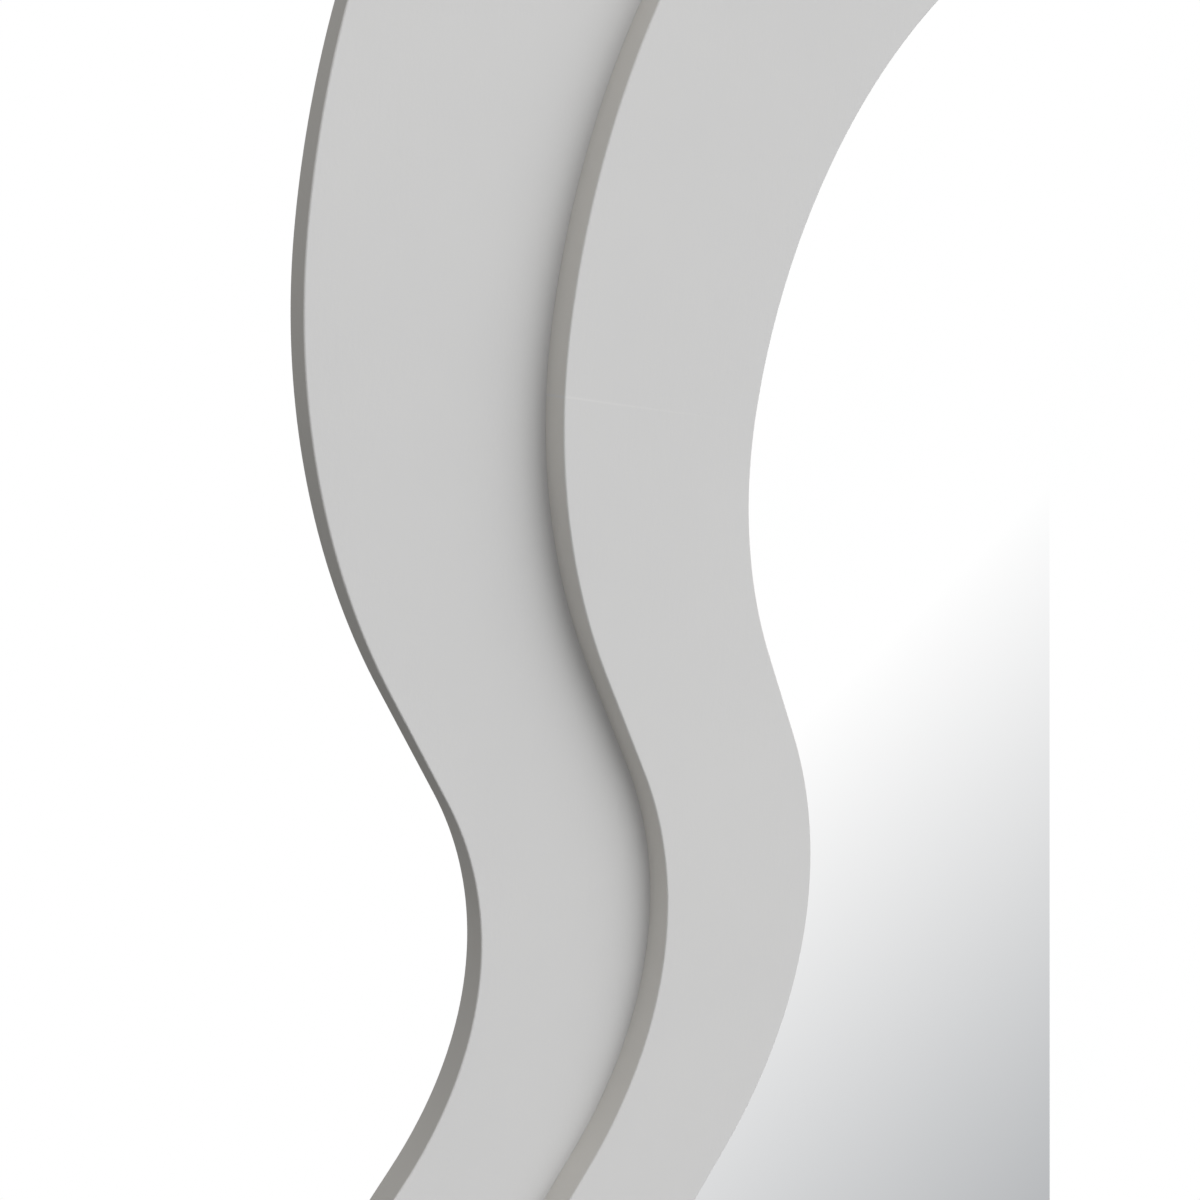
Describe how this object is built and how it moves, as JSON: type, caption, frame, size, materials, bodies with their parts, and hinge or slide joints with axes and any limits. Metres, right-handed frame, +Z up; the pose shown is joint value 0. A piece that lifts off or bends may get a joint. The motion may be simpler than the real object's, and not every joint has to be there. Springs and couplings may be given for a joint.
{
  "type": "wall mirror",
  "caption": "Wall mirror with a wavy two-tier painted frame round silvered glass, closed by a backing panel and hung from swinging rings on strap hangers.",
  "frame": {"origin": "middle of the wall plane, which the bumpers on the back touch", "axes": "the front faces -Y and the wall is at +Y; +X to the right as seen from the front, +Z up"},
  "size_m": [0.864, 0.026, 1.062],
  "materials": {
    "painted_board": "matt paint, pale warm grey, rolled on board",
    "mirror": "silvered float glass",
    "foam": "closed-cell foam sheet",
    "hardboard": "smooth brown hardboard",
    "screw_steel": "zinc plated",
    "hanger_steel": "nickel plated",
    "bumper_rubber": "matt rubber"
  },
  "bodies": {
    "frame": {"rear_tier_left": "painted_board", "rear_tier_right": "painted_board", "front_tier_top": "painted_board", "front_tier_bottom": "painted_board", "front_tier_left": "painted_board", "front_tier_right": "painted_board", "mirror_glass": "mirror", "packing_sheet": "foam", "backing_panel": "hardboard", "tier_screws": "screw_steel", "panel_screws": "screw_steel", "hanger_plate_left": "hanger_steel", "hanger_plate_right": "hanger_steel", "hanger_screws": "screw_steel", "wall_bumpers": "bumper_rubber"},
    "ring_left": {"hanger_ring_left": "hanger_steel"},
    "ring_right": {"hanger_ring_right": "hanger_steel"}
  },
  "joints": [
    {"name": "ring_left_swing", "type": "hinge", "parent": "frame", "child": "ring_left", "pos_m": [-0.348, -0.00429, 0.233], "axis": [1, 0, 0], "range_deg": [0, 180]},
    {"name": "ring_right_swing", "type": "hinge", "parent": "frame", "child": "ring_right", "pos_m": [0.348, -0.00429, 0.233], "axis": [1, 0, 0], "range_deg": [0, 180]}
  ]
}
